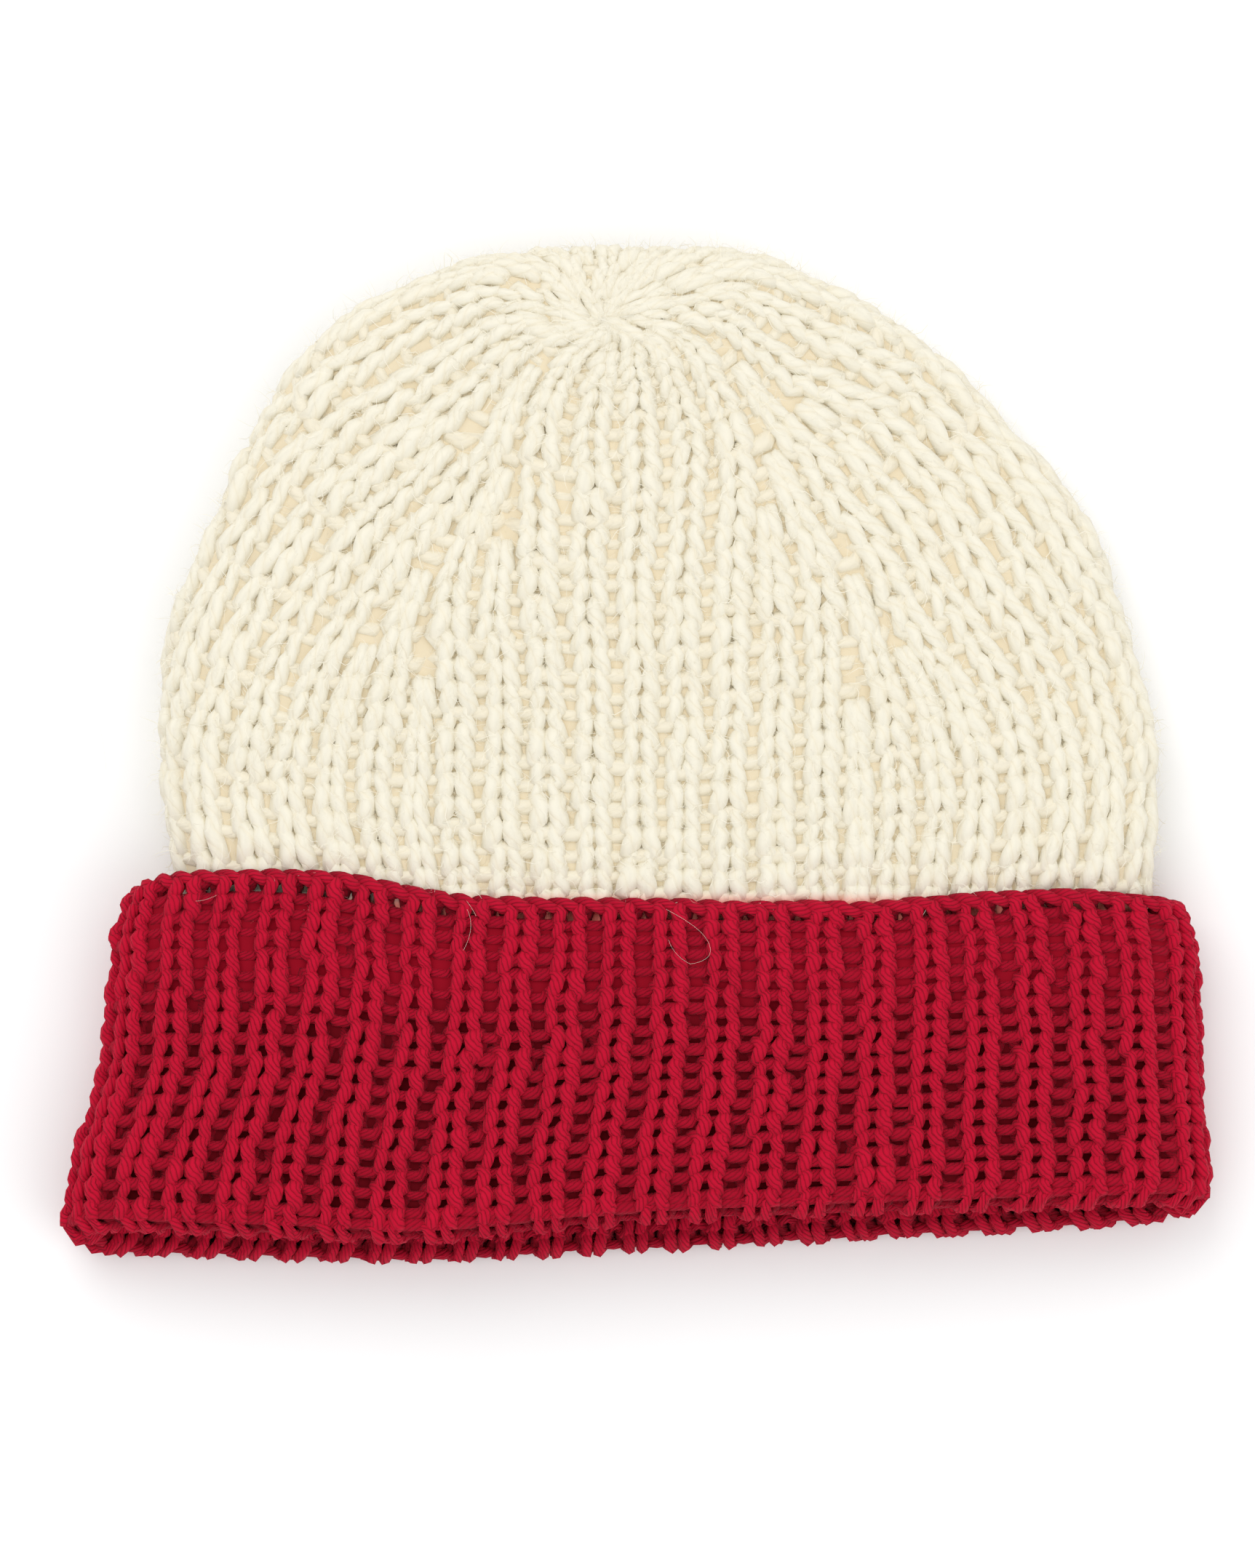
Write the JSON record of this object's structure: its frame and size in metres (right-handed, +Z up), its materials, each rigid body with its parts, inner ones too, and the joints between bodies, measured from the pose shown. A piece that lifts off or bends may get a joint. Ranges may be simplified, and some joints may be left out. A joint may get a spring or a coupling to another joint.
{
  "type": "ribbed knit beanie with a turned-up cuff",
  "caption": "Soft knitted cap in 1x1 rib, a closed cream crown gathered at the top and a crimson rib cuff turned up outside, lying on its back, open at the head hole.",
  "frame": {"origin": "under the middle of the beanie's box, on the surface it lies on", "axes": "+Z up through the front of the beanie as it lies on its back, +Y towards the gathered top of the crown, +X to the right when the front is seen from above with the cuff nearest"},
  "size_m": [0.2508, 0.2247, 0.0289],
  "materials": {
    "cream_wool": "soft hand-knitted wool, matt and slightly fuzzy",
    "crimson_wool": "plied worsted wool in 1x1 rib, matt"
  },
  "bodies": {
    "root": {"crown": "cream_wool", "cuff": "crimson_wool"}
  },
  "joints": []
}
